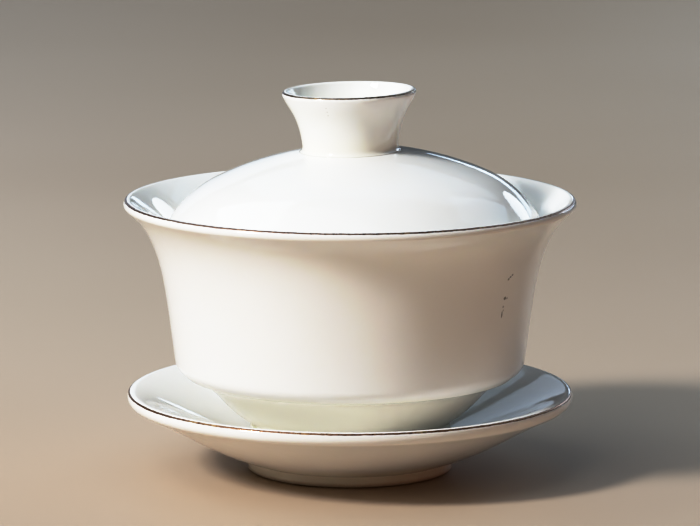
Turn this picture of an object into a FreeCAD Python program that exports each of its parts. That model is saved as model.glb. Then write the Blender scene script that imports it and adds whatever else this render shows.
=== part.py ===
import FreeCAD, Part
import math
import os

# Gaiwan: a lidded tea bowl on a saucer. Millimetres, +Z up. The origin is the centre of the saucer's
# foot ring, on the surface that the gaiwan stands on. Every piece is turned, so each is drawn as a half
# section in the XZ plane and revolved about Z. Points are (radius, height). Headings are in degrees:
# 0 points outwards and 90 points up. A curve holds the headings of its two ends over its two pulls.

SEAT_GAP = 0.15            # between pieces that rest on each other
GILT_DEPTH = 0.10          # how deep each metal line is let into its lip
GILT_STROKES = 8           # equal stretches of each metal line, end to end

# Saucer
SAUCER_RADIUS = 49.4
SAUCER_HEIGHT = 17.65
SAUCER_LIP_RADIUS = 1.0    # rounding of the lip's upper edge
SAUCER_EDGE_RADIUS = 1.9   # rounding of the lip's lower edge
SAUCER_EDGE_HEIGHT = 16.38
SAUCER_UNDER_HEADING = 25.5
SAUCER_UNDER_PULLS = (11.0, 11.0)
SAUCER_WELL_RADIUS = 22.6  # the flat of the well that holds the bowl's foot
SAUCER_WELL_FLOOR = 5.5
SAUCER_WELL_STEP = 0.6
SAUCER_WELL_HEADING = 72
SAUCER_WELL_ROUNDING = 0.9
SAUCER_SLOPE = 22
SAUCER_SLOPE_PULLS = (12.0, 2.4)
SAUCER_FOOT_TOP = (23.25, 2.45)
SAUCER_FOOT_SLOPE = 198
SAUCER_FOOT_HEADING = 268
SAUCER_FOOT_RADIUS = 22.75
SAUCER_FOOT_WIDTH = 3.0
SAUCER_FOOT_ROUNDING = 0.5
SAUCER_GILT = (35, 59)     # angles about the lip's centre that the metal line covers

# Bowl
BOWL_LIP_CENTRE = (48.9, 59.5)
BOWL_LIP_RADIUS = 1.1
BOWL_FLARE = 38.6          # heading of the wall at the lip
BOWL_WALL_BOTTOM = (38.8, 24.4)
BOWL_WALL_HEADING = 82.5
BOWL_WALL_PULLS = (10.3, 17.8)
BOWL_CORNER_RADIUS = 3.2   # the lower corner is an arc, a short chamfer and a tight edge
BOWL_CORNER_END = -50
BOWL_CHAMFER = 1.4
BOWL_EDGE_RADIUS = 0.6
BOWL_EDGE_END = -80
BOWL_UNDER_HEADING = 212
BOWL_UNDER_PULLS = (5.8, 8.1)
BOWL_FOOT_TOP = (23.0, 11.15)
BOWL_FOOT_FILLET = 1.6
BOWL_FOOT_HEADING = 265
BOWL_FOOT_RADIUS = 21.9
BOWL_FOOT_WIDTH = 2.9
BOWL_FOOT_ROUNDING = 0.7
BOWL_FLOOR = 13.2
BOWL_FLOOR_RADIUS = 15.0
BOWL_FLOOR_THICKNESS = 3.4
BOWL_FLOOR_PULLS = (6.0, 5.0)
BOWL_CONE = (28.6, 19.4)   # midway up the slope from the floor to the wall
BOWL_CONE_HEADING = 41
BOWL_CONE_PULLS = (5.0, 4.5)
BOWL_INSIDE_BOTTOM = (36.3, 29.0)
BOWL_INSIDE_HEADING = 83.5
BOWL_INSIDE_PULLS = (16.0, 11.0)
BOWL_GILT = (46, 69)

# Lid
LID_HEIGHT = 71.95         # top of the dome, under the knob
LID_THICKNESS = 2.3
LID_CROWN_RADIUS = 72.8
LID_CROWN_ANGLE = 24.8     # how far the crown's arc reaches from the axis
LID_SHOULDER_RADIUS = 24.0
LID_SHOULDER_ANGLE = 63.0  # brings the rim to the seat gap inside the bowl's flare
LID_TILT = 1.45            # how far askew the loose lid sits, its +X side up
LID_PIVOT = 77.0           # centre of the ball that touches the flare where the rim does

# Knob
KNOB_LIP_CENTRE = (14.0, 83.85)
KNOB_LIP_RADIUS = 0.8
KNOB_FLARE = 68.8
KNOB_NECK = (10.57, 72.3)
KNOB_NECK_HEADING = 84.3
KNOB_OUTSIDE_PULLS = (3.0, 7.0)
KNOB_INSIDE_PULLS = (6.0, 3.0)
KNOB_WALL = 2.2
KNOB_LUTE = 0.8            # reach of the slip fillet on each side of the wall
KNOB_LUTE_PULLS = (0.6, 0.5)
KNOB_GILT = (32, 62)

ORIGIN = FreeCAD.Vector(0, 0, 0)
UP = FreeCAD.Vector(0, 0, 1)
BACK = FreeCAD.Vector(0, 1, 0)
SAME_POINT = 1e-6


def at(radius, height):
    """A point of the half section."""
    return FreeCAD.Vector(radius, 0, height)


def toward(heading):
    """The unit vector of a heading."""
    angle = math.radians(heading)
    return FreeCAD.Vector(math.cos(angle), 0, math.sin(angle))


def heading_of(vector):
    return math.degrees(math.atan2(vector.z, vector.x))


class Section:
    """A closed half section, drawn edge by edge from a pen position."""

    def __init__(self, start):
        self.start = start
        self.pen = start
        self.edges = []

    def add(self, curve, end):
        self.edges.append(curve.toShape())
        self.pen = end

    def line(self, end):
        self.add(Part.LineSegment(self.pen, end), end)

    def arc(self, centre, end_angle):
        """Follow the circle about centre to end_angle, the short way round."""
        spoke = self.pen - centre
        start_angle = heading_of(spoke)
        turn = (end_angle - start_angle + 180) % 360 - 180
        middle = centre + toward(start_angle + turn / 2) * spoke.Length
        end = centre + toward(end_angle) * spoke.Length
        self.add(Part.Arc(self.pen, middle, end), end)

    def fillet(self, heading, new_heading, radius):
        """Turn from one heading to another on an arc."""
        side = 90 if new_heading > heading else -90
        centre = self.pen + toward(heading + side) * radius
        self.arc(centre, new_heading - side)

    def round_lip(self, centre, heading):
        """Half a circle round a lip that points along heading."""
        far_side = heading_of(centre - self.pen)
        self.arc(centre, heading)
        self.arc(centre, far_side)

    def curve(self, heading, end, end_heading, pulls):
        """A Bezier curve from the pen to end."""
        bezier = Part.BezierCurve()
        leave = self.pen + toward(heading) * pulls[0]
        arrive = end - toward(end_heading) * pulls[1]
        bezier.setPoles([self.pen, leave, arrive, end])
        self.add(bezier, end)

    def turned(self, angle=360):
        """Close the section and revolve it about Z."""
        if not self.pen.isEqual(self.start, SAME_POINT):
            self.line(self.start)
        return Part.Face(Part.Wire(self.edges)).revolve(ORIGIN, UP, angle)


def gilt_line(centre, radius, span):
    """A thin metal ring let into a lip whose section is a circle, laid in strokes that join end to end."""
    first, last = span
    stroke = Section(centre + toward(first) * radius)
    stroke.arc(centre, last)
    stroke.line(centre + toward(last) * (radius - GILT_DEPTH))
    stroke.arc(centre, first)
    reach = 360 / GILT_STROKES
    strokes = [stroke.turned(reach).rotated(ORIGIN, UP, reach * i) for i in range(GILT_STROKES)]
    return strokes[0].fuse(strokes[1:])


def foot_ring(section, radius, bottom, width, rounding, recess):
    """From the outside of a foot ring, round its worn bottom, to the axis inside its recess."""
    inner = radius - width
    section.line(at(radius, bottom + rounding))
    section.arc(at(radius - rounding, bottom + rounding), -90)
    section.line(at(inner + rounding, bottom))
    section.arc(at(inner + rounding, bottom + rounding), 180)
    section.line(at(inner, recess - rounding))
    section.arc(at(inner - rounding, recess - rounding), 90)
    section.line(at(0, recess))


def saucer_lip_centre():
    return at(SAUCER_RADIUS - SAUCER_LIP_RADIUS, SAUCER_HEIGHT - SAUCER_LIP_RADIUS)


def saucer():
    edge_centre = at(SAUCER_RADIUS - SAUCER_EDGE_RADIUS, SAUCER_EDGE_HEIGHT)
    lip_top = at(SAUCER_RADIUS - SAUCER_LIP_RADIUS, SAUCER_HEIGHT)

    dish = Section(at(0, SAUCER_WELL_FLOOR))
    dish.line(at(SAUCER_WELL_RADIUS, SAUCER_WELL_FLOOR))
    dish.fillet(0, SAUCER_WELL_HEADING, SAUCER_WELL_ROUNDING)
    dish.line(dish.pen + toward(SAUCER_WELL_HEADING) * SAUCER_WELL_STEP)
    dish.fillet(SAUCER_WELL_HEADING, SAUCER_SLOPE, SAUCER_WELL_ROUNDING)
    dish.curve(SAUCER_SLOPE, lip_top, 0, SAUCER_SLOPE_PULLS)
    dish.arc(saucer_lip_centre(), 0)
    dish.line(at(SAUCER_RADIUS, SAUCER_EDGE_HEIGHT))
    dish.arc(edge_centre, SAUCER_UNDER_HEADING - 90)
    dish.curve(SAUCER_UNDER_HEADING + 180, at(*SAUCER_FOOT_TOP), SAUCER_FOOT_SLOPE, SAUCER_UNDER_PULLS)
    dish.fillet(SAUCER_FOOT_SLOPE, SAUCER_FOOT_HEADING, SAUCER_FOOT_ROUNDING)
    recess = SAUCER_FOOT_TOP[1]
    foot_ring(dish, SAUCER_FOOT_RADIUS, 0, SAUCER_FOOT_WIDTH, SAUCER_FOOT_ROUNDING, recess)
    return dish.turned()


def bowl():
    lip = at(*BOWL_LIP_CENTRE)
    wall_bottom = at(*BOWL_WALL_BOTTOM)
    inside_of_lip = lip + toward(BOWL_FLARE + 90) * BOWL_LIP_RADIUS
    corner_centre = wall_bottom - toward(BOWL_WALL_HEADING - 90) * BOWL_CORNER_RADIUS
    chamfer = toward(BOWL_CORNER_END - 90) * BOWL_CHAMFER
    foot_bottom = SAUCER_WELL_FLOOR + SEAT_GAP
    recess = BOWL_FLOOR - BOWL_FLOOR_THICKNESS

    cup = Section(at(0, BOWL_FLOOR))
    cup.line(at(BOWL_FLOOR_RADIUS, BOWL_FLOOR))
    cup.curve(0, at(*BOWL_CONE), BOWL_CONE_HEADING, BOWL_FLOOR_PULLS)
    cup.curve(BOWL_CONE_HEADING, at(*BOWL_INSIDE_BOTTOM), BOWL_INSIDE_HEADING, BOWL_CONE_PULLS)
    cup.curve(BOWL_INSIDE_HEADING, inside_of_lip, BOWL_FLARE, BOWL_INSIDE_PULLS)
    cup.round_lip(lip, BOWL_FLARE)
    cup.curve(BOWL_FLARE + 180, wall_bottom, BOWL_WALL_HEADING + 180, BOWL_WALL_PULLS)
    cup.arc(corner_centre, BOWL_CORNER_END)
    cup.line(cup.pen + chamfer)
    cup.arc(cup.pen - toward(BOWL_CORNER_END) * BOWL_EDGE_RADIUS, BOWL_EDGE_END)
    cup.curve(BOWL_EDGE_END - 90, at(*BOWL_FOOT_TOP), BOWL_UNDER_HEADING, BOWL_UNDER_PULLS)
    cup.fillet(BOWL_UNDER_HEADING, BOWL_FOOT_HEADING, BOWL_FOOT_FILLET)
    foot_ring(cup, BOWL_FOOT_RADIUS, foot_bottom, BOWL_FOOT_WIDTH, BOWL_FOOT_ROUNDING, recess)
    return cup.turned()


def crown_centre():
    return at(0, LID_HEIGHT - LID_CROWN_RADIUS)


def crown_angle(radius):
    """Where the dome's crown reaches a given radius, as an angle about the crown's centre."""
    return math.degrees(math.acos(radius / LID_CROWN_RADIUS))


def on_crown(radius):
    return crown_centre() + toward(crown_angle(radius)) * LID_CROWN_RADIUS


def lid_dome():
    join = 90 - LID_CROWN_ANGLE
    rim = 90 - LID_SHOULDER_ANGLE
    shoulder_centre = crown_centre() + toward(join) * (LID_CROWN_RADIUS - LID_SHOULDER_RADIUS)
    rim_centre = shoulder_centre + toward(rim) * (LID_SHOULDER_RADIUS - LID_THICKNESS / 2)

    shell = Section(at(0, LID_HEIGHT - LID_THICKNESS))
    shell.arc(crown_centre(), join)
    shell.arc(shoulder_centre, rim)
    shell.round_lip(rim_centre, rim - 90)
    shell.arc(shoulder_centre, join)
    shell.arc(crown_centre(), 90)
    return shell.turned()


def lid_knob():
    lip = at(*KNOB_LIP_CENTRE)
    neck = at(*KNOB_NECK)
    inside_neck = neck + at(-KNOB_WALL, KNOB_LUTE)
    inside_foot = on_crown(inside_neck.x - KNOB_LUTE)
    outside_foot = on_crown(neck.x + KNOB_LUTE)
    inside_of_lip = lip + toward(KNOB_FLARE + 90) * KNOB_LIP_RADIUS
    inside_slope = crown_angle(inside_foot.x) - 90
    outside_slope = crown_angle(outside_foot.x) - 90

    ring = Section(inside_foot)
    ring.curve(inside_slope, inside_neck, KNOB_NECK_HEADING, KNOB_LUTE_PULLS)
    ring.curve(KNOB_NECK_HEADING, inside_of_lip, KNOB_FLARE, KNOB_INSIDE_PULLS)
    ring.round_lip(lip, KNOB_FLARE)
    ring.curve(KNOB_FLARE + 180, neck, KNOB_NECK_HEADING + 180, KNOB_OUTSIDE_PULLS)
    ring.curve(KNOB_NECK_HEADING + 180, outside_foot, outside_slope, KNOB_LUTE_PULLS)
    ring.arc(crown_centre(), crown_angle(inside_foot.x))
    return ring.turned()


def askew(piece):
    """Roll a piece of the lid round in the flare, as a ball would roll, so that the seat's gap stays."""
    return piece.rotated(at(0, LID_PIVOT), BACK, -LID_TILT)


def write(node, shape):
    """Save one piece, once it is known to be a closed solid."""
    if not shape.isValid() or shape.Volume <= 0:
        raise RuntimeError(node + " is not a sound solid")
    shape.exportStep("parts/" + node + ".step")
    print(node, round(shape.Volume / 1000, 3), "ml")


os.makedirs("parts", exist_ok=True)
saucer_gilt = gilt_line(saucer_lip_centre(), SAUCER_LIP_RADIUS, SAUCER_GILT)
bowl_gilt = gilt_line(at(*BOWL_LIP_CENTRE), BOWL_LIP_RADIUS, BOWL_GILT)
knob_gilt = gilt_line(at(*KNOB_LIP_CENTRE), KNOB_LIP_RADIUS, KNOB_GILT)
write("saucer_dish", saucer().cut(saucer_gilt))
write("saucer_gilt_line", saucer_gilt)
write("bowl_body", bowl().cut(bowl_gilt))
write("bowl_gilt_line", bowl_gilt)
write("lid_dome", askew(lid_dome()))
write("lid_knob", askew(lid_knob().cut(knob_gilt)))
write("knob_gilt_line", askew(knob_gilt))
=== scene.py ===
import math

import bpy
import numpy as np
from mathutils import Matrix, Vector


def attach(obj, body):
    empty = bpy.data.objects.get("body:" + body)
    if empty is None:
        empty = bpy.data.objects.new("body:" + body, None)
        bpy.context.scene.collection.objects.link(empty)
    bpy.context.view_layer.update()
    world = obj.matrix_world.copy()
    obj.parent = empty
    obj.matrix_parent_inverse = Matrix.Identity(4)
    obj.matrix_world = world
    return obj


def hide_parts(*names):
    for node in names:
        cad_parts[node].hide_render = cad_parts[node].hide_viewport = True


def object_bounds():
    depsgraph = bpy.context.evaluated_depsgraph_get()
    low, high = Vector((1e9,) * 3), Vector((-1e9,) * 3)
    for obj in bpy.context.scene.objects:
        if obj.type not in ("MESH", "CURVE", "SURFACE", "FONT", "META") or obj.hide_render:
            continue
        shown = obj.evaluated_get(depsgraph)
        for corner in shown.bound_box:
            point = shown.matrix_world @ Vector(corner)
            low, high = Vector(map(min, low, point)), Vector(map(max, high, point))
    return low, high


# Looks of the gaiwan. Each CAD node is stood for by a finer turned mesh of the same size, with glaze that
# pools and thins, unglazed feet, and gilt lines laid by brush. Outlines are drawn in millimetres as
# (radius, height), and everything that goes into Blender is in metres. Headings are in degrees: 0 points
# outwards and 90 points up. A curve holds the headings of its two ends over its two pulls.

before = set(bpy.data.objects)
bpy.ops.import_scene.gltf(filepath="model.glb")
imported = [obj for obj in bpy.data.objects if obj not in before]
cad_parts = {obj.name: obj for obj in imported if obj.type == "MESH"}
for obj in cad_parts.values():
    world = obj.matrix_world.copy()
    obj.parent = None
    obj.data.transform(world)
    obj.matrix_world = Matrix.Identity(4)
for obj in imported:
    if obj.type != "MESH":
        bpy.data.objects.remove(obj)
cad_low, cad_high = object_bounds()

MM = 0.001
GLAZE_STEP = 1.0           # longest facet along an outline
ARC_STEP = 9.0             # most degrees between two points of an arc
AROUND = 384               # facets round a piece
KNOB_AROUND = 256
SAME_POINT = 1e-6

SHARP_TURN = 1.0           # a turn in radians that only a hidden corner has
POOL_REACH = 3.2           # how far along the outline a bend draws the glaze
POOL_BEND = 75             # degrees of bend that draw as much glaze as can be

GILT_AROUND = 1440
GILT_ACROSS = 7            # points across a gilt line
GILT_RISE = 0.02           # how far a gilt line stands above the glaze
GILT_DEPTH = 0.10
GILT_SPREAD = 4.0          # how far in degrees the brushed metal runs past each edge of the CAD's line
GILT_WANDER = 3.0          # how far in degrees its two edges wander
GILT_WAVES = (3, 7, 13, 29, 61, 113, 197)


# ---------------------------------------------------------------- outlines

def toward(heading):
    """The unit vector of a heading."""
    angle = math.radians(heading)
    return np.array([math.cos(angle), math.sin(angle)])


def heading_of(vector):
    return math.degrees(math.atan2(vector[1], vector[0]))


class Outline:
    """A half section drawn from a pen position, kept as points close enough for a smooth surface."""

    def __init__(self, radius, height):
        self.points = [np.array([radius, height], float)]

    @property
    def pen(self):
        return self.points[-1]

    def line(self, radius, height):
        start = self.pen
        end = np.array([radius, height], float)
        pieces = max(1, math.ceil(np.linalg.norm(end - start) / GLAZE_STEP))
        self.points += [start + (end - start) * i / pieces for i in range(1, pieces + 1)]

    def ahead(self, heading, distance):
        self.line(*(self.pen + toward(heading) * distance))

    def arc(self, centre, end_angle):
        """Follow the circle about centre to end_angle, the short way round."""
        centre = np.array(centre, float)
        spoke = self.pen - centre
        radius = np.linalg.norm(spoke)
        start_angle = heading_of(spoke)
        turn = (end_angle - start_angle + 180) % 360 - 180
        by_length = math.radians(abs(turn)) * radius / GLAZE_STEP
        pieces = max(2, math.ceil(max(abs(turn) / ARC_STEP, by_length)))
        angles = [start_angle + turn * i / pieces for i in range(1, pieces + 1)]
        self.points += [centre + toward(a) * radius for a in angles]

    def fillet(self, heading, new_heading, radius):
        """Turn from one heading to another on an arc."""
        side = 90 if new_heading > heading else -90
        self.arc(self.pen + toward(heading + side) * radius, new_heading - side)

    def round_lip(self, centre, heading):
        """Half a circle round a lip that points along heading."""
        far_side = heading_of(np.array(centre) - self.pen)
        self.arc(centre, heading)
        self.arc(centre, far_side)

    def curve(self, heading, end, end_heading, pulls):
        """A Bezier curve from the pen to end, leaving and arriving along its two headings."""
        start = self.pen
        end = np.array(end, float)
        leave = start + toward(heading) * pulls[0]
        arrive = end - toward(end_heading) * pulls[1]
        pieces = max(4, math.ceil(np.linalg.norm(end - start) / GLAZE_STEP))
        for i in range(1, pieces + 1):
            t = i / pieces
            s = 1 - t
            self.points.append(s**3 * start + 3 * s * s * t * leave + 3 * s * t * t * arrive + t**3 * end)

    def foot_ring(self, radius, bottom, width, rounding, recess):
        """From the outside of a foot ring, round its bottom, to the axis inside its recess."""
        inner = radius - width
        self.line(radius, bottom + rounding)
        self.arc((radius - rounding, bottom + rounding), -90)
        self.line(inner + rounding, bottom)
        self.arc((inner + rounding, bottom + rounding), 180)
        self.line(inner, recess - rounding)
        self.arc((inner - rounding, recess - rounding), 90)
        self.line(0, recess)


# ---------------------------------------------------------------- sizes from the frame

LID_TILT = 1.45            # how far askew the CAD's lid sits, its +X side up
LID_PIVOT = Vector((0, 0, 77 * MM))
ASKEW = (Matrix.Translation(LID_PIVOT) @ Matrix.Rotation(math.radians(-LID_TILT), 4, "Y")
         @ Matrix.Translation(-LID_PIVOT))
UPRIGHT = Matrix.Identity(4)


def turned_size(node, lean=UPRIGHT):
    """Radius, bottom and top of a turned CAD node as it was before it leaned, in millimetres."""
    back = lean.inverted()
    places = [back @ vertex.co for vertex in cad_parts[node].data.vertices]
    heights = [place.z for place in places]
    return max(place.xy.length for place in places) / MM, min(heights) / MM, max(heights) / MM


SAUCER_RADIUS, SAUCER_BOTTOM, SAUCER_TOP = turned_size("saucer_dish")
BOWL_RADIUS, BOWL_BOTTOM, BOWL_TOP = turned_size("bowl_body")
_, DOME_BOTTOM, DOME_TOP = turned_size("lid_dome", ASKEW)
KNOB_RADIUS, _, KNOB_TOP = turned_size("lid_knob", ASKEW)

SAUCER_LIP = 1.0
SAUCER_LIP_CENTRE = (SAUCER_RADIUS - SAUCER_LIP, SAUCER_TOP - SAUCER_LIP)
SAUCER_EDGE = 1.9
SAUCER_EDGE_DROP = 1.27    # from the lip's top to the lower rounding's centre
SAUCER_UNDER_HEADING = 25.5
SAUCER_UNDER_PULLS = (11, 11)
SAUCER_SLOPE = 22
SAUCER_SLOPE_PULLS = (12, 2.4)
SAUCER_FOOT_TOP = (23.25, SAUCER_BOTTOM + 2.45)
SAUCER_FOOT_SLOPE = 198
SAUCER_FOOT_HEADING = 268
SAUCER_FOOT_RADIUS = 22.75
SAUCER_FOOT_WIDTH = 3.0
SAUCER_FOOT_ROUNDING = 0.5
SAUCER_GILT = (35, 59)     # angles about the lip's centre that the line covers

SEAT_GAP = 0.15            # between the bowl's foot and the well
WELL_RADIUS = 22.6
WELL_FLOOR = BOWL_BOTTOM - SEAT_GAP
WELL_HEADING = 72
WELL_STEP = 0.6
WELL_ROUNDING = 0.9

BOWL_LIP = 1.1
BOWL_LIP_CENTRE = (BOWL_RADIUS - BOWL_LIP, BOWL_TOP - BOWL_LIP)
BOWL_FLARE = 38.6          # heading of the wall at the lip
BOWL_WALL_BOTTOM = (38.8, BOWL_BOTTOM + 18.75)
BOWL_WALL_HEADING = 82.5
BOWL_WALL_PULLS = (10.3, 17.8)
BOWL_CORNER = 3.2          # the lower corner is an arc, a short chamfer and a tight edge
BOWL_CORNER_END = -50
BOWL_CHAMFER = 1.4
BOWL_EDGE = 0.6
BOWL_EDGE_END = -80
BOWL_UNDER_HEADING = 212
BOWL_UNDER_PULLS = (5.8, 8.1)
BOWL_FOOT_TOP = (23.0, BOWL_BOTTOM + 5.5)
BOWL_FOOT_FILLET = 1.6
BOWL_FOOT_HEADING = 265
BOWL_FOOT_RADIUS = 21.9
BOWL_FOOT_WIDTH = 2.9
BOWL_FOOT_ROUNDING = 0.7
BOWL_RECESS = BOWL_BOTTOM + 4.15
BOWL_FLOOR = (15, BOWL_BOTTOM + 7.55)
BOWL_FLOOR_PULLS = (6, 5)
BOWL_CONE = (28.6, BOWL_BOTTOM + 13.75)
BOWL_CONE_HEADING = 41
BOWL_CONE_PULLS = (5, 4.5)
BOWL_INSIDE_BOTTOM = (36.3, BOWL_BOTTOM + 23.35)
BOWL_INSIDE_HEADING = 83.5
BOWL_INSIDE_PULLS = (16, 11)
BOWL_GILT = (46, 69)

CROWN_RADIUS = 72.8
CROWN_CENTRE = (0, DOME_TOP - CROWN_RADIUS)
CROWN_JOIN = 65.2          # angle about the crown's centre where the shoulder starts
SHOULDER_RADIUS = 24.0
DOME_RIM = 27.0            # angle about the shoulder's centre where the rim is
DOME_THICKNESS = 2.3

KNOB_LIP = 0.8
KNOB_LIP_CENTRE = (KNOB_RADIUS - KNOB_LIP, KNOB_TOP - KNOB_LIP)
KNOB_FLARE = 68.8
KNOB_NECK = (10.57, DOME_TOP + 0.35)
KNOB_NECK_HEADING = 84.3
KNOB_INSIDE_PULLS = (6, 3)
KNOB_OUTSIDE_PULLS = (3, 7)
KNOB_WALL = 2.2
KNOB_GILT = (32, 62)
LUTE = 0.8                 # reach of the slip fillet at the knob's foot
LUTE_PULLS = (0.6, 0.5)


def saucer_outline():
    lip = SAUCER_LIP - GILT_RISE
    edge_centre = (SAUCER_RADIUS - SAUCER_EDGE, SAUCER_TOP - SAUCER_EDGE_DROP)
    dish = Outline(0, WELL_FLOOR)
    dish.line(WELL_RADIUS, WELL_FLOOR)
    dish.fillet(0, WELL_HEADING, WELL_ROUNDING)
    dish.ahead(WELL_HEADING, WELL_STEP)
    dish.fillet(WELL_HEADING, SAUCER_SLOPE, WELL_ROUNDING)
    dish.curve(SAUCER_SLOPE, (SAUCER_LIP_CENTRE[0], SAUCER_LIP_CENTRE[1] + lip), 0, SAUCER_SLOPE_PULLS)
    dish.arc(SAUCER_LIP_CENTRE, 0)
    dish.line(edge_centre[0] + SAUCER_EDGE, edge_centre[1])
    dish.arc(edge_centre, SAUCER_UNDER_HEADING - 90)
    dish.curve(SAUCER_UNDER_HEADING + 180, SAUCER_FOOT_TOP, SAUCER_FOOT_SLOPE, SAUCER_UNDER_PULLS)
    dish.fillet(SAUCER_FOOT_SLOPE, SAUCER_FOOT_HEADING, SAUCER_FOOT_ROUNDING)
    recess = SAUCER_FOOT_TOP[1]
    dish.foot_ring(SAUCER_FOOT_RADIUS, SAUCER_BOTTOM, SAUCER_FOOT_WIDTH, SAUCER_FOOT_ROUNDING, recess)
    return dish


def bowl_outline():
    lip = BOWL_LIP - GILT_RISE
    lip_centre = np.array(BOWL_LIP_CENTRE)
    inside_of_lip = lip_centre + toward(BOWL_FLARE + 90) * lip
    corner_centre = np.array(BOWL_WALL_BOTTOM) - toward(BOWL_WALL_HEADING - 90) * BOWL_CORNER
    cup = Outline(0, BOWL_FLOOR[1])
    cup.line(*BOWL_FLOOR)
    cup.curve(0, BOWL_CONE, BOWL_CONE_HEADING, BOWL_FLOOR_PULLS)
    cup.curve(BOWL_CONE_HEADING, BOWL_INSIDE_BOTTOM, BOWL_INSIDE_HEADING, BOWL_CONE_PULLS)
    cup.curve(BOWL_INSIDE_HEADING, inside_of_lip, BOWL_FLARE, BOWL_INSIDE_PULLS)
    cup.round_lip(lip_centre, BOWL_FLARE)
    cup.curve(BOWL_FLARE + 180, BOWL_WALL_BOTTOM, BOWL_WALL_HEADING + 180, BOWL_WALL_PULLS)
    cup.arc(corner_centre, BOWL_CORNER_END)
    cup.ahead(BOWL_CORNER_END - 90, BOWL_CHAMFER)
    cup.arc(cup.pen - toward(BOWL_CORNER_END) * BOWL_EDGE, BOWL_EDGE_END)
    cup.curve(BOWL_EDGE_END - 90, BOWL_FOOT_TOP, BOWL_UNDER_HEADING, BOWL_UNDER_PULLS)
    cup.fillet(BOWL_UNDER_HEADING, BOWL_FOOT_HEADING, BOWL_FOOT_FILLET)
    cup.foot_ring(BOWL_FOOT_RADIUS, BOWL_BOTTOM, BOWL_FOOT_WIDTH, BOWL_FOOT_ROUNDING, BOWL_RECESS)
    return cup


def dome_outline():
    shoulder = np.array(CROWN_CENTRE) + toward(CROWN_JOIN) * (CROWN_RADIUS - SHOULDER_RADIUS)
    rim = shoulder + toward(DOME_RIM) * (SHOULDER_RADIUS - DOME_THICKNESS / 2)
    shell = Outline(0, DOME_TOP - DOME_THICKNESS)
    shell.arc(CROWN_CENTRE, CROWN_JOIN)
    shell.arc(shoulder, DOME_RIM)
    shell.round_lip(rim, DOME_RIM - 90)
    shell.arc(shoulder, CROWN_JOIN)
    shell.arc(CROWN_CENTRE, 90)
    return shell


def crown_angle(radius):
    """Where the dome's crown reaches a given radius, as an angle about the crown's centre."""
    return math.degrees(math.acos(radius / CROWN_RADIUS))


def on_crown(radius):
    return np.array(CROWN_CENTRE) + toward(crown_angle(radius)) * CROWN_RADIUS


def knob_outline():
    lip = KNOB_LIP - GILT_RISE
    neck = np.array(KNOB_NECK)
    inside_neck = neck + [-KNOB_WALL, LUTE]
    inside_foot = on_crown(inside_neck[0] - LUTE)
    outside_foot = on_crown(neck[0] + LUTE)
    inside_of_lip = np.array(KNOB_LIP_CENTRE) + toward(KNOB_FLARE + 90) * lip
    ring = Outline(*inside_foot)
    ring.curve(crown_angle(inside_foot[0]) - 90, inside_neck, KNOB_NECK_HEADING, LUTE_PULLS)
    ring.curve(KNOB_NECK_HEADING, inside_of_lip, KNOB_FLARE, KNOB_INSIDE_PULLS)
    ring.round_lip(KNOB_LIP_CENTRE, KNOB_FLARE)
    ring.curve(KNOB_FLARE + 180, neck, KNOB_NECK_HEADING + 180, KNOB_OUTSIDE_PULLS)
    ring.curve(KNOB_NECK_HEADING + 180, outside_foot, crown_angle(outside_foot[0]) - 90, LUTE_PULLS)
    ring.arc(CROWN_CENTRE, crown_angle(inside_foot[0]))
    return ring


def on_outside(outline, azimuth, height):
    """A point on the outside of a turned piece, in metres. Azimuth 0 is in front and 90 is on the right."""
    radii = []
    for low, high in zip(outline.points, outline.points[1:]):
        if min(low[1], high[1]) <= height < max(low[1], high[1]):
            radii.append(low[0] + (high[0] - low[0]) * (height - low[1]) / (high[1] - low[1]))
    a = math.radians(azimuth)
    return Vector((math.sin(a) * max(radii), -math.cos(a) * max(radii), height)) * MM


# ---------------------------------------------------------------- meshes

def add_attribute(mesh, name, values):
    attribute = mesh.attributes.new(name, "FLOAT", "POINT")
    attribute.data.foreach_set("value", np.asarray(values, np.float32))


def new_object(name, vertices, faces):
    mesh = bpy.data.meshes.new(name)
    mesh.from_pydata(vertices, [], faces)
    mesh.validate()
    mesh.shade_smooth()
    piece = bpy.data.objects.new(name, mesh)
    bpy.context.scene.collection.objects.link(piece)
    return piece


def bend(points):
    """How the outline turns near each point: above 0 in a hollow and below 0 over an edge, up to about 1."""
    steps = np.diff(points, axis=0)
    headings = np.unwrap(np.arctan2(steps[:, 1], steps[:, 0]))
    turn = np.zeros(len(points))
    turn[1:-1] = np.diff(headings)
    turn[np.abs(turn) > SHARP_TURN] = 0
    place = np.concatenate([[0], np.cumsum(np.linalg.norm(steps, axis=1))])
    weight = np.exp(-((place[:, None] - place[None, :]) / POOL_REACH) ** 2)
    return weight @ turn / math.radians(POOL_BEND)


def turn(name, outline, around):
    """Revolve a closed outline. A point on the axis becomes one vertex."""
    points = list(outline.points)
    if np.linalg.norm(points[0] - points[-1]) < SAME_POINT:
        points.pop()
    pooled = bend(np.array(outline.points))[:len(points)]
    spin = 2 * math.pi * np.arange(around) / around
    vertices, rows, pool = [], [], []
    for (radius, height), hollow in zip(points, pooled):
        first = len(vertices)
        if radius < SAME_POINT:
            vertices.append((0, 0, height * MM))
            rows.append([first] * around)
            pool.append(hollow)
            continue
        vertices += [(radius * MM * math.cos(a), radius * MM * math.sin(a), height * MM) for a in spin]
        rows.append(list(range(first, first + around)))
        pool += [hollow] * around
    faces = []
    for here, there in zip(rows, rows[1:] + rows[:1]):
        for i in range(around):
            j = (i + 1) % around
            corners = [here[i], here[j], there[j], there[i]]
            face = [c for n, c in enumerate(corners) if c not in corners[:n]]
            if len(face) > 2:
                faces.append(face)
    piece = new_object(name, vertices, faces)
    add_attribute(piece.data, "hollow", pool)
    return piece


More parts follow.
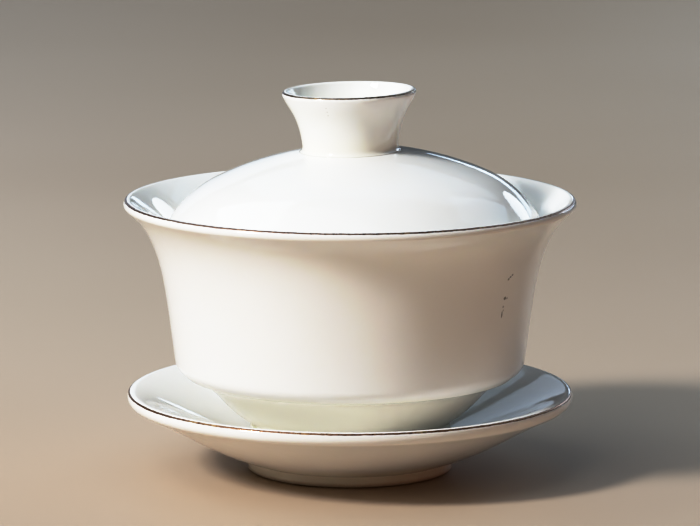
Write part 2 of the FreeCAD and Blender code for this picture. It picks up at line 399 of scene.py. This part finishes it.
def wander(generator):
    """A smooth closed random line round a gilt line's edge, in degrees, made of a few waves."""
    angle = 2 * math.pi * np.arange(GILT_AROUND) / GILT_AROUND
    line = np.zeros(GILT_AROUND)
    for wave in GILT_WAVES:
        phase = generator.uniform(0, 2 * math.pi)
        line += generator.uniform(0.5, 1.0) * np.sin(wave * angle + phase)
    return GILT_WANDER * line / math.sqrt(len(GILT_WAVES))


def gilt_ring(name, centre, radius, span, seed):
    """A thin metal line laid round a lip by brush, so its two edges wander a little."""
    generator = np.random.default_rng(seed)
    first = span[0] - GILT_SPREAD + wander(generator)
    last = span[1] + GILT_SPREAD + wander(generator)
    inner = radius - GILT_DEPTH
    last_point = GILT_ACROSS - 1
    crown = [radius - GILT_RISE * abs(2 * n / last_point - 1) ** 4 for n in range(GILT_ACROSS)]
    vertices = []
    for i in range(GILT_AROUND):
        spin = 2 * math.pi * i / GILT_AROUND
        angles = np.radians(np.linspace(first[i], last[i], GILT_ACROSS))
        section = list(zip(crown, angles))
        section += [(inner, a) for a in angles[::-1]]
        for reach, a in section:
            out = (centre[0] + reach * math.cos(a)) * MM
            up = (centre[1] + reach * math.sin(a)) * MM
            vertices.append((out * math.cos(spin), out * math.sin(spin), up))
    size = 2 * GILT_ACROSS
    faces = []
    for i in range(GILT_AROUND):
        here, there = i * size, (i + 1) % GILT_AROUND * size
        for n in range(size):
            m = (n + 1) % size
            faces.append((here + n, there + n, there + m, here + m))
    return new_object(name, vertices, faces)


# ---------------------------------------------------------------- materials

class Nodes:
    """Short ways to add shader nodes to one material."""

    def __init__(self, name):
        self.material = bpy.data.materials.new(name)
        self.material.use_nodes = True
        self.tree = self.material.node_tree
        self.shader = self.tree.nodes["Principled BSDF"]

    def add(self, kind, **settings):
        node = self.tree.nodes.new(kind)
        for key, value in settings.items():
            setattr(node, key, value)
        return node

    def put(self, node, socket, value):
        """Fill a socket with a number or another node's output."""
        if isinstance(value, bpy.types.NodeSocket):
            self.tree.links.new(value, node.inputs[socket])
        else:
            node.inputs[socket].default_value = value

    def math(self, operation, *values):
        node = self.add("ShaderNodeMath", operation=operation)
        for i, value in enumerate(values):
            self.put(node, i, value)
        return node.outputs[0]

    def ramp(self, value, low, high, to_low=0.0, to_high=1.0):
        """value from low to high becomes to_low to to_high, eased at both ends."""
        node = self.add("ShaderNodeMapRange", interpolation_type="SMOOTHSTEP")
        for socket, number in zip(("Value", "From Min", "From Max", "To Min", "To Max"),
                                  (value, low, high, to_low, to_high)):
            self.put(node, socket, number)
        return node.outputs[0]

    def mix(self, factor, first, second):
        node = self.add("ShaderNodeMix", data_type="RGBA")
        self.put(node, "Factor", factor)
        self.put(node, "A", first)
        self.put(node, "B", second)
        return node.outputs["Result"]

    def noise(self, scale, detail=2.0, roughness=0.5, seed=0.0):
        node = self.add("ShaderNodeTexNoise", noise_dimensions="4D")
        self.put(node, "Vector", self.place)
        self.put(node, "Scale", scale)
        self.put(node, "Detail", detail)
        self.put(node, "Roughness", roughness)
        self.put(node, "W", seed)
        return node.outputs["Fac"]

    @property
    def place(self):
        if "place" not in self.tree.nodes:
            self.add("ShaderNodeTexCoord", name="place")
        return self.tree.nodes["place"].outputs["Object"]

    def smears(self, scale, stretch, turn, seed):
        """Noise drawn out into streaks. turn is their heading about Z in radians."""
        mapping = self.add("ShaderNodeMapping")
        self.put(mapping, "Vector", self.place)
        self.put(mapping, "Rotation", (0.0, 0.0, turn))
        self.put(mapping, "Scale", (scale / stretch, scale, scale))
        node = self.add("ShaderNodeTexNoise", noise_dimensions="4D")
        self.put(node, "Vector", mapping.outputs["Vector"])
        self.put(node, "Scale", 1.0)
        self.put(node, "Detail", 3.0)
        self.put(node, "W", seed)
        return node.outputs["Fac"]

    def specks(self, scale, size, share):
        """Small round spots in a share of the cells of a Voronoi pattern, 1 inside and 0 outside."""
        node = self.add("ShaderNodeTexVoronoi")
        self.put(node, "Vector", self.place)
        self.put(node, "Scale", scale)
        split = self.add("ShaderNodeSeparateColor")
        self.put(split, "Color", node.outputs["Color"])
        chosen = self.math("LESS_THAN", split.outputs[0], share)
        reach = self.math("MULTIPLY", self.math("ADD", split.outputs[1], 0.4), size * scale)
        inside = self.ramp(self.math("DIVIDE", node.outputs["Distance"], reach), 1.0, 0.6)
        return self.math("MULTIPLY", chosen, inside)

    def blot(self, centre, reach, fray):
        """A spot round a point, 1 inside and 0 outside. reach is half its size along X, Y and Z."""
        offset = self.add("ShaderNodeVectorMath", operation="SUBTRACT")
        self.put(offset, 0, self.place)
        self.put(offset, 1, centre)
        scaled = self.add("ShaderNodeVectorMath", operation="DIVIDE")
        self.put(scaled, 0, offset.outputs["Vector"])
        self.put(scaled, 1, reach)
        length = self.add("ShaderNodeVectorMath", operation="LENGTH")
        self.put(length, 0, scaled.outputs["Vector"])
        return self.ramp(self.math("ADD", length.outputs["Value"], fray), 1.25, 0.75)

    def bump(self, height, distance, under=None):
        node = self.add("ShaderNodeBump")
        self.put(node, "Height", height)
        self.put(node, "Distance", distance)
        if under is not None:
            self.put(node, "Normal", under)
        return node.outputs["Normal"]


IVORY = (0.905, 0.90, 0.88, 1)
CREAM = (0.92, 0.915, 0.835, 1)
IVORY_DEEP = (0.88, 0.87, 0.84, 1)
# Pooled glaze cream, kept brighter than the glaze as painted bounce light on shaded undersides.
POOLED_AND_BOUNCE_LIT = (0.95, 0.915, 0.80, 1)
THIN_GLAZE = (0.90, 0.89, 0.865, 1)
TOASTED = (0.52, 0.36, 0.20, 1)
BISCUIT = (0.66, 0.60, 0.51, 1)
BISCUIT_GRAIN = (0.42, 0.36, 0.29, 1)
IRON = (0.045, 0.028, 0.016, 1)
CELADON = (0.50, 0.50, 0.27, 1)
WORN_GOLD = (0.60, 0.42, 0.19, 1)
# Dim gold that mottles the painted dark reflection on the gilt lines.
PAINTED_DIM_GOLD_REFLECTION = (0.30, 0.19, 0.10, 1)
# Painted reflections: the dark colour laid on each gilt line in place of the dark surroundings that real
# gold reflects.
PAINTED_REDDISH_REFLECTION = (0.15, 0.062, 0.03, 1)
PAINTED_PLUM_REFLECTION = (0.15, 0.08, 0.065, 1)
PAINTED_BLACK_REFLECTION = (0.09, 0.075, 0.06, 1)

# The first two numbers of each range are what goes in, and the last two are how much it shows.
POOL_RANGE = (0.1, 1.1, 0.0, 0.6)      # bend to pooled glaze
THIN_RANGE = (-0.2, -1.6, 0.0, 0.8)    # bend to thin glaze
SHEEN_RANGE = (0.3, 0.75, 0.035, 0.085)
SCUFF_RANGE = (0.62, 0.8, 0.0, 0.05)
WIPE_RANGE = (0.56, 0.74, 0.0, 0.11)
WORN_RANGE = (0.54, 0.78, 0.0, 0.85)

CREAM_DRIFT = 2.0 * MM     # how far up the cream's edge wanders
CREAM_FADE = (0.8, -1.2)   # where the cream starts and where it is full, from its edge in millimetres
BARE_DRIFT = 0.4 * MM      # how far up the glaze's ragged edge wanders
BARE_FADE = 0.05 * MM
TOAST_REACH = 0.5 * MM
MARK_FRAY = 1.4            # how frayed a mark is, as a share of its half size
IRON_STRENGTH = 0.75
BARE_ROUGHNESS = 0.6

IRON_SPECKS = {"scale": 95.0, "size": 0.12 * MM, "share": 0.10}
PINHOLES = {"scale": 160.0, "size": 0.10 * MM, "share": 0.16}
RIPPLE = 0.06 * MM
PEEL = 0.008 * MM
PIT = 0.05 * MM
GRIT = 0.04 * MM
BRUSHING = 0.02 * MM


def glaze_colour(n, height, cream_below, seed, tone):
    """Cream where glaze pools in a hollow or low on a piece, kept bright as painted bounce light from the
    saucer, and whiter where it thins over an edge.
    """
    hollow = n.add("ShaderNodeAttribute", attribute_name="hollow").outputs["Fac"]
    cloud = n.noise(scale=26.0, detail=3.0, roughness=0.55, seed=seed)
    glaze = n.mix(n.ramp(cloud, 0.35, 0.7), tone, IVORY_DEEP)
    drift = n.math("MULTIPLY_ADD", n.noise(scale=70.0, seed=seed + 1), -CREAM_DRIFT, height)
    # Painted bounce light: below cream_below the bright cream stands in partly for light thrown up from the
    # saucer.
    cream_and_bounce = n.ramp(drift, (cream_below + CREAM_FADE[0]) * MM, (cream_below + CREAM_FADE[1]) * MM)
    cream_and_bounce = n.math("MAXIMUM", cream_and_bounce, n.ramp(hollow, *POOL_RANGE))
    glaze = n.mix(cream_and_bounce, glaze, POOLED_AND_BOUNCE_LIT)
    return n.mix(n.ramp(hollow, *THIN_RANGE), glaze, THIN_GLAZE)


def spotted(n, glaze, iron, marks, seed):
    """The glaze with its iron specks and its larger marks."""
    glaze = n.mix(n.math("MULTIPLY", iron, IRON_STRENGTH), glaze, IRON)
    ragged = n.noise(scale=2600.0, roughness=0.6, seed=seed + 2)
    fray = n.math("MULTIPLY_ADD", ragged, MARK_FRAY, -MARK_FRAY / 2)
    for centre, reach, strength, stain in marks:
        spot = n.blot(centre, Vector(reach) * MM, fray)
        glaze = n.mix(n.math("MULTIPLY", spot, strength), glaze, stain)
    return glaze


def glaze_roughness(n, seed):
    """Glossy glaze with a few dull scuffs, and patches of streaks where it was wiped."""
    sheen = n.ramp(n.noise(scale=60.0, detail=4.0, roughness=0.6, seed=seed + 3), *SHEEN_RANGE)
    scuff = n.ramp(n.noise(scale=900.0, seed=seed + 5), *SCUFF_RANGE)
    wiped = n.ramp(n.smears(scale=420.0, stretch=7.0, turn=0.6 + seed, seed=seed), *WIPE_RANGE)
    patch = n.ramp(n.noise(scale=38.0, seed=seed + 4), 0.48, 0.66)
    return n.math("MULTIPLY_ADD", wiped, patch, n.math("ADD", sheen, scuff))


def porcelain(name, biscuit_below, cream_below, seed, marks=(), tone=IVORY):
    """Glazed porcelain. Glaze pools in hollows, thins over edges, and stops short of the foot's bottom.

    Both heights are in millimetres. Below cream_below the glaze lies deep enough to look cream, a cream
    bright enough to be painted bounce light on the shaded underside. Each mark is a place, its half size
    along X, Y and Z in millimetres, how strong it is and its colour.
    """
    n = Nodes(name)
    separate = n.add("ShaderNodeSeparateXYZ")
    n.put(separate, "Vector", n.place)
    height = separate.outputs["Z"]
    iron = n.specks(**IRON_SPECKS)
    glaze = spotted(n, glaze_colour(n, height, cream_below, seed, tone), iron, marks, seed)

    drips = n.noise(scale=420.0, roughness=0.6, seed=seed)
    edge = n.math("MULTIPLY_ADD", drips, BARE_DRIFT, biscuit_below * MM)
    above = n.math("SUBTRACT", height, edge)
    bare = n.ramp(above, BARE_FADE, -BARE_FADE)
    glaze = n.mix(n.ramp(above, TOAST_REACH, 0.0, 0.0, 0.35), glaze, TOASTED)
    grain = n.noise(scale=2600.0, detail=3.0, roughness=0.7, seed=seed)
    body = n.mix(n.ramp(grain, 0.3, 0.7, 0.0, 0.3), BISCUIT, BISCUIT_GRAIN)
    n.put(n.shader, "Base Color", n.mix(bare, glaze, body))
    n.put(n.shader, "Roughness", n.math("MULTIPLY_ADD", bare, BARE_ROUGHNESS, glaze_roughness(n, seed)))

    dents = n.math("MULTIPLY", n.math("ADD", n.specks(**PINHOLES), iron), -1.0)
    rippled = n.bump(n.noise(scale=120.0, seed=seed + 7), RIPPLE)
    peeled = n.bump(n.noise(scale=520.0, seed=seed + 9), PEEL, rippled)
    pitted = n.bump(dents, PIT, peeled)
    n.put(n.shader, "Normal", n.bump(n.math("MULTIPLY", bare, grain), GRIT, pitted))
    n.shader.inputs["IOR"].default_value = 1.52
    n.shader.inputs["Subsurface Weight"].default_value = 0.12
    n.shader.inputs["Subsurface Radius"].default_value = (1.0, 0.85, 0.65)
    n.shader.inputs["Subsurface Scale"].default_value = 2 * MM
    return n.material


def gilt(name, seed, painted_reflection):
    """Fired-on metal rubbed brighter in places, over a base painted dark as a painted reflection of dark
    surroundings. The last argument is that painted dark colour.
    """
    n = Nodes(name)
    stroke = n.noise(scale=180.0, detail=4.0, roughness=0.65, seed=seed)
    fine = n.noise(scale=1500.0, detail=3.0, roughness=0.7, seed=seed + 1)
    # Painted reflection: a dark base mottled with dim gold stands in for the dark surroundings that the gold
    # mirrors.
    dark = n.mix(n.ramp(fine, 0.3, 0.7, 0.0, 0.5), painted_reflection, PAINTED_DIM_GOLD_REFLECTION)
    n.put(n.shader, "Base Color", n.mix(n.ramp(stroke, *WORN_RANGE), dark, WORN_GOLD))
    n.shader.inputs["Metallic"].default_value = 0.75
    n.put(n.shader, "Roughness", n.ramp(fine, 0.25, 0.8, 0.2, 0.42))
    n.put(n.shader, "Normal", n.bump(fine, BRUSHING))
    return n.material


# ---------------------------------------------------------------- the gaiwan

# Iron spots on the bowl: azimuth, height above the foot's bottom, half width, half height and strength.
IRON_SPOTS = (
    (55.7, 41.7, 0.30, 0.26, 0.70),
    (54.9, 41.3, 0.32, 0.28, 0.75),
    (54.1, 40.9, 0.34, 0.28, 0.75),
    (54.2, 36.6, 0.42, 0.36, 0.80),
    (55.3, 36.5, 0.34, 0.22, 0.40),
    (54.0, 34.7, 0.28, 0.26, 0.50),
    (54.3, 33.9, 0.22, 0.20, 0.40),
    (53.8, 33.0, 0.24, 0.85, 0.75),
)
POOLED_SPOT = (-71.0, 5.1, 2.20, 1.00, 0.75)
KNOB_PITS = (-2.4, -3.3, -4.1)         # heights from the knob's top
KNOB_PIT_AZIMUTH = -21.0
KNOB_PIT = (0.15, 0.17, 0.35)          # half width, half height and strength

SAUCER_BARE = SAUCER_BOTTOM + 0.4      # the glaze stops at these heights
BOWL_BARE = BOWL_BOTTOM + 0.5
LID_BARE = DOME_BOTTOM + 0.4
SAUCER_CREAM = SAUCER_BOTTOM + 4       # and looks cream below these
# Below the bowl's ridge the bright cream is partly painted bounce light from the saucer.
BOWL_CREAM = BOWL_BOTTOM + 15.4
LID_CREAM = DOME_BOTTOM


def mark(outline, azimuth, height, across, tall, strength, stain=IRON):
    return on_outside(outline, azimuth, height), (across, across, tall), strength, stain


def bowl_marks(cup):
    spots = [mark(cup, azimuth, BOWL_BOTTOM + up, *rest) for azimuth, up, *rest in IRON_SPOTS]
    azimuth, up, *rest = POOLED_SPOT
    return spots + [mark(cup, azimuth, BOWL_BOTTOM + up, *rest, CELADON)]


def knob_marks(ring):
    return [mark(ring, KNOB_PIT_AZIMUTH, KNOB_TOP + up, *KNOB_PIT) for up in KNOB_PITS]


def place_piece(piece, material, body, node):
    piece.data.materials.append(material)
    piece.matrix_world = ASKEW if body == "lid" else UPRIGHT
    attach(piece, body)
    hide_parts(node)


def porcelain_pieces():
    cup = bowl_outline()
    ring = knob_outline()
    saucer_glaze = porcelain("saucer_porcelain", SAUCER_BARE, SAUCER_CREAM, 1.0)
    bowl_glaze = porcelain("bowl_porcelain", BOWL_BARE, BOWL_CREAM, 2.0, bowl_marks(cup))
    dome_glaze = porcelain("dome_porcelain", LID_BARE, LID_CREAM, 3.0)
    knob_glaze = porcelain("knob_porcelain", LID_BARE, LID_CREAM, 4.0, knob_marks(ring), CREAM)
    for name, outline, around, glaze, body, node in (
        ("saucer", saucer_outline(), AROUND, saucer_glaze, "saucer", "saucer_dish"),
        ("bowl", cup, AROUND, bowl_glaze, "bowl", "bowl_body"),
        ("dome", dome_outline(), AROUND, dome_glaze, "lid", "lid_dome"),
        ("knob", ring, KNOB_AROUND, knob_glaze, "lid", "lid_knob"),
    ):
        place_piece(turn(name, outline, around), glaze, body, node)


def gilt_lines():
    # Each gilt line gets its own painted dark reflection colour: reddish brown, plum brown or near black.
    for seed, (name, centre, radius, span, painted_reflection, body, node) in enumerate((
        ("saucer_gilt", SAUCER_LIP_CENTRE, SAUCER_LIP, SAUCER_GILT, PAINTED_REDDISH_REFLECTION, "saucer", "saucer_gilt_line"),
        ("bowl_gilt", BOWL_LIP_CENTRE, BOWL_LIP, BOWL_GILT, PAINTED_PLUM_REFLECTION, "bowl", "bowl_gilt_line"),
        ("knob_gilt", KNOB_LIP_CENTRE, KNOB_LIP, KNOB_GILT, PAINTED_BLACK_REFLECTION, "lid", "knob_gilt_line"),
    )):
        line = gilt_ring(name, centre, radius, span, seed + 11)
        place_piece(line, gilt(name + "_metal", float(seed), painted_reflection), body, node)


# ---------------------------------------------------------------- studio

FLOOR_HALF = 4.0
FLOOR_GAP = 0.2 * MM
FLOOR_DARK = (0.46, 0.36, 0.27, 1)
FLOOR_LIGHT = (0.50, 0.40, 0.31, 1)
FLOOR_ROUGHNESS = 0.55

# Soft boxes that point at the object's middle: name, azimuth, elevation, distance, width, height, power,
# colour and shape. Azimuth 0 is in front and 90 is on the right.
LAMPS = (
    ("key", -58, 35.5, 1.3, 0.22, 0.22, 20.5, (1.0, 1.0, 0.99), "RECTANGLE"),
    ("fill", -32, 48, 1.3, 0.7, 0.6, 2.4, (1.0, 1.0, 1.0), "RECTANGLE"),
    ("sky", -60, 68, 1.4, 1.2, 1.0, 4.0, (0.80, 0.91, 1.0), "RECTANGLE"),
    ("open_sky", -118, 50, 1.4, 0.9, 0.7, 4.4, (0.78, 0.90, 1.0), "RECTANGLE"),
    ("back", 172, 46, 1.4, 1.2, 0.8, 2.0, (0.62, 0.81, 1.0), "RECTANGLE"),
    ("side", 126, 40, 1.4, 0.7, 0.6, 1.8, (0.60, 0.80, 1.0), "RECTANGLE"),
    ("rim", 148, 17, 1.3, 0.42, 0.26, 1.3, (0.76, 0.88, 1.0), "ELLIPSE"),
    ("horizon", 157, 8, 1.3, 0.85, 0.13, 0.75, (0.66, 0.82, 1.0), "ELLIPSE"),
    ("skyline", 193, 12, 1.3, 0.62, 0.50, 0.6, (0.66, 0.81, 1.0), "ELLIPSE"),
    ("warm", 74, 3, 1.1, 0.5, 0.2, 0.42, (1.0, 0.30, 0.11), "RECTANGLE"),
    ("front", -12, 1, 0.9, 0.5, 0.1, 0.3, (1.0, 0.62, 0.36), "RECTANGLE"),
)
AIR_COLOUR = (0.60, 0.63, 0.68, 1)
AIR_STRENGTH = 0.02

# A camera's response, as pairs of the light that comes in and how bright it is shown.
WHITE_LEVEL = 2.0          # the light that is shown as pure white
RESPONSE = ((0.1, 0.06), (0.2, 0.13), (0.35, 0.27), (0.5, 0.44), (0.7, 0.67), (1.0, 0.86), (1.4, 0.955))
ALL_COLOURS = 3            # the response curve that red, green and blue share

SENSOR = 36                # millimetres, as is the lens
LENS = 232.5
CLIP = (0.05, 20)
AIM = Vector((0, 0, 45.9 * MM))
CAMERA_ELEVATION = 9.6
CAMERA_DISTANCE = 1.0


def floor():
    corners = [(x * FLOOR_HALF, y * FLOOR_HALF, 0) for x, y in ((-1, -1), (1, -1), (1, 1), (-1, 1))]
    ground = new_object("floor", corners, [(0, 1, 2, 3)])
    ground.location.z = cad_low.z - FLOOR_GAP
    n = Nodes("floor_paint")
    tone = n.ramp(n.noise(scale=3.0), 0.3, 0.7)
    n.put(n.shader, "Base Color", n.mix(tone, FLOOR_DARK, FLOOR_LIGHT))
    n.shader.inputs["Roughness"].default_value = FLOOR_ROUGHNESS
    ground.data.materials.append(n.material)


def put_around(holder, middle, azimuth, elevation, distance):
    """Stand a lamp or the camera off from a place, and point it there."""
    a = math.radians(azimuth)
    e = math.radians(elevation)
    outward = Vector((math.sin(a) * math.cos(e), -math.cos(a) * math.cos(e), math.sin(e)))
    holder.location = middle + outward * distance
    holder.rotation_euler = (middle - holder.location).to_track_quat("-Z", "Y").to_euler()
    bpy.context.scene.collection.objects.link(holder)


def soft_box(name, azimuth, elevation, distance, width, height, power, colour, shape):
    lamp = bpy.data.lights.new(name, "AREA")
    lamp.shape = shape
    lamp.size = width
    lamp.size_y = height
    lamp.energy = power
    lamp.color = colour
    middle = (cad_low + cad_high) / 2
    put_around(bpy.data.objects.new(name, lamp), middle, azimuth, elevation, distance)


def air():
    """The faint light that comes from everywhere."""
    world = bpy.data.worlds.new("studio")
    world.use_nodes = True
    backdrop = world.node_tree.nodes["Background"]
    backdrop.inputs["Color"].default_value = AIR_COLOUR
    backdrop.inputs["Strength"].default_value = AIR_STRENGTH
    bpy.context.scene.world = world


def exposure():
    view = bpy.context.scene.view_settings
    view.view_transform = "Standard"
    view.use_curve_mapping = True
    response = view.curve_mapping
    response.white_level = (WHITE_LEVEL, WHITE_LEVEL, WHITE_LEVEL)
    for light, shown in RESPONSE:
        response.curves[ALL_COLOURS].points.new(light / WHITE_LEVEL, shown)
    response.update()


def camera():
    lens = bpy.data.cameras.new("camera")
    lens.sensor_width = SENSOR
    lens.lens = LENS
    lens.clip_start, lens.clip_end = CLIP
    holder = bpy.data.objects.new("camera", lens)
    put_around(holder, AIM, 0, CAMERA_ELEVATION, CAMERA_DISTANCE)
    bpy.context.scene.camera = holder


porcelain_pieces()
gilt_lines()
floor()
for lamp in LAMPS:
    soft_box(*lamp)
air()
exposure()
camera()
